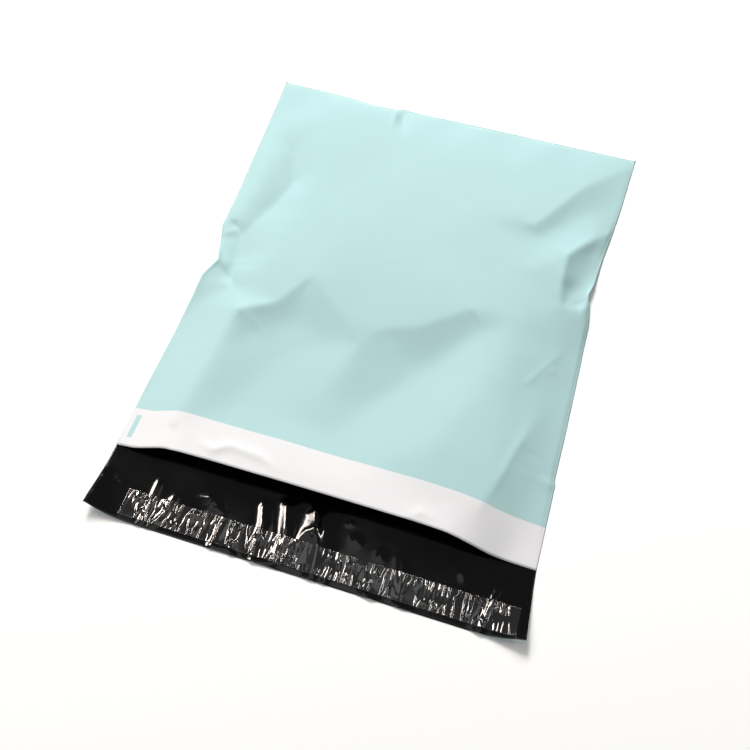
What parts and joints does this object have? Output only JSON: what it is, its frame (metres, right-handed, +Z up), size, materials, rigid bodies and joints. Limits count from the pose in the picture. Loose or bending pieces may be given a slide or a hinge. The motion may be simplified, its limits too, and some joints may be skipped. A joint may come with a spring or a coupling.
{
  "type": "poly mailer bag",
  "caption": "Flat plastic film mailing bag, open at the mouth, with a self-seal flap and a clear liner over the adhesive.",
  "frame": {"origin": "on the floor, under the middle of the bag's outline with its flap open", "axes": "+Z up from the back panel to the front panel, +Y from the flap to the bottom fold, +X to the right as the flap points at the viewer"},
  "size_m": [0.31, 0.41, 0.015],
  "materials": {
    "printed_film": "satin",
    "hot_melt_adhesive": "satin",
    "clear_liner": "gloss"
  },
  "bodies": {
    "root": {"bag_film": "printed_film", "adhesive_strip": "hot_melt_adhesive", "release_liner": "clear_liner"}
  },
  "joints": []
}
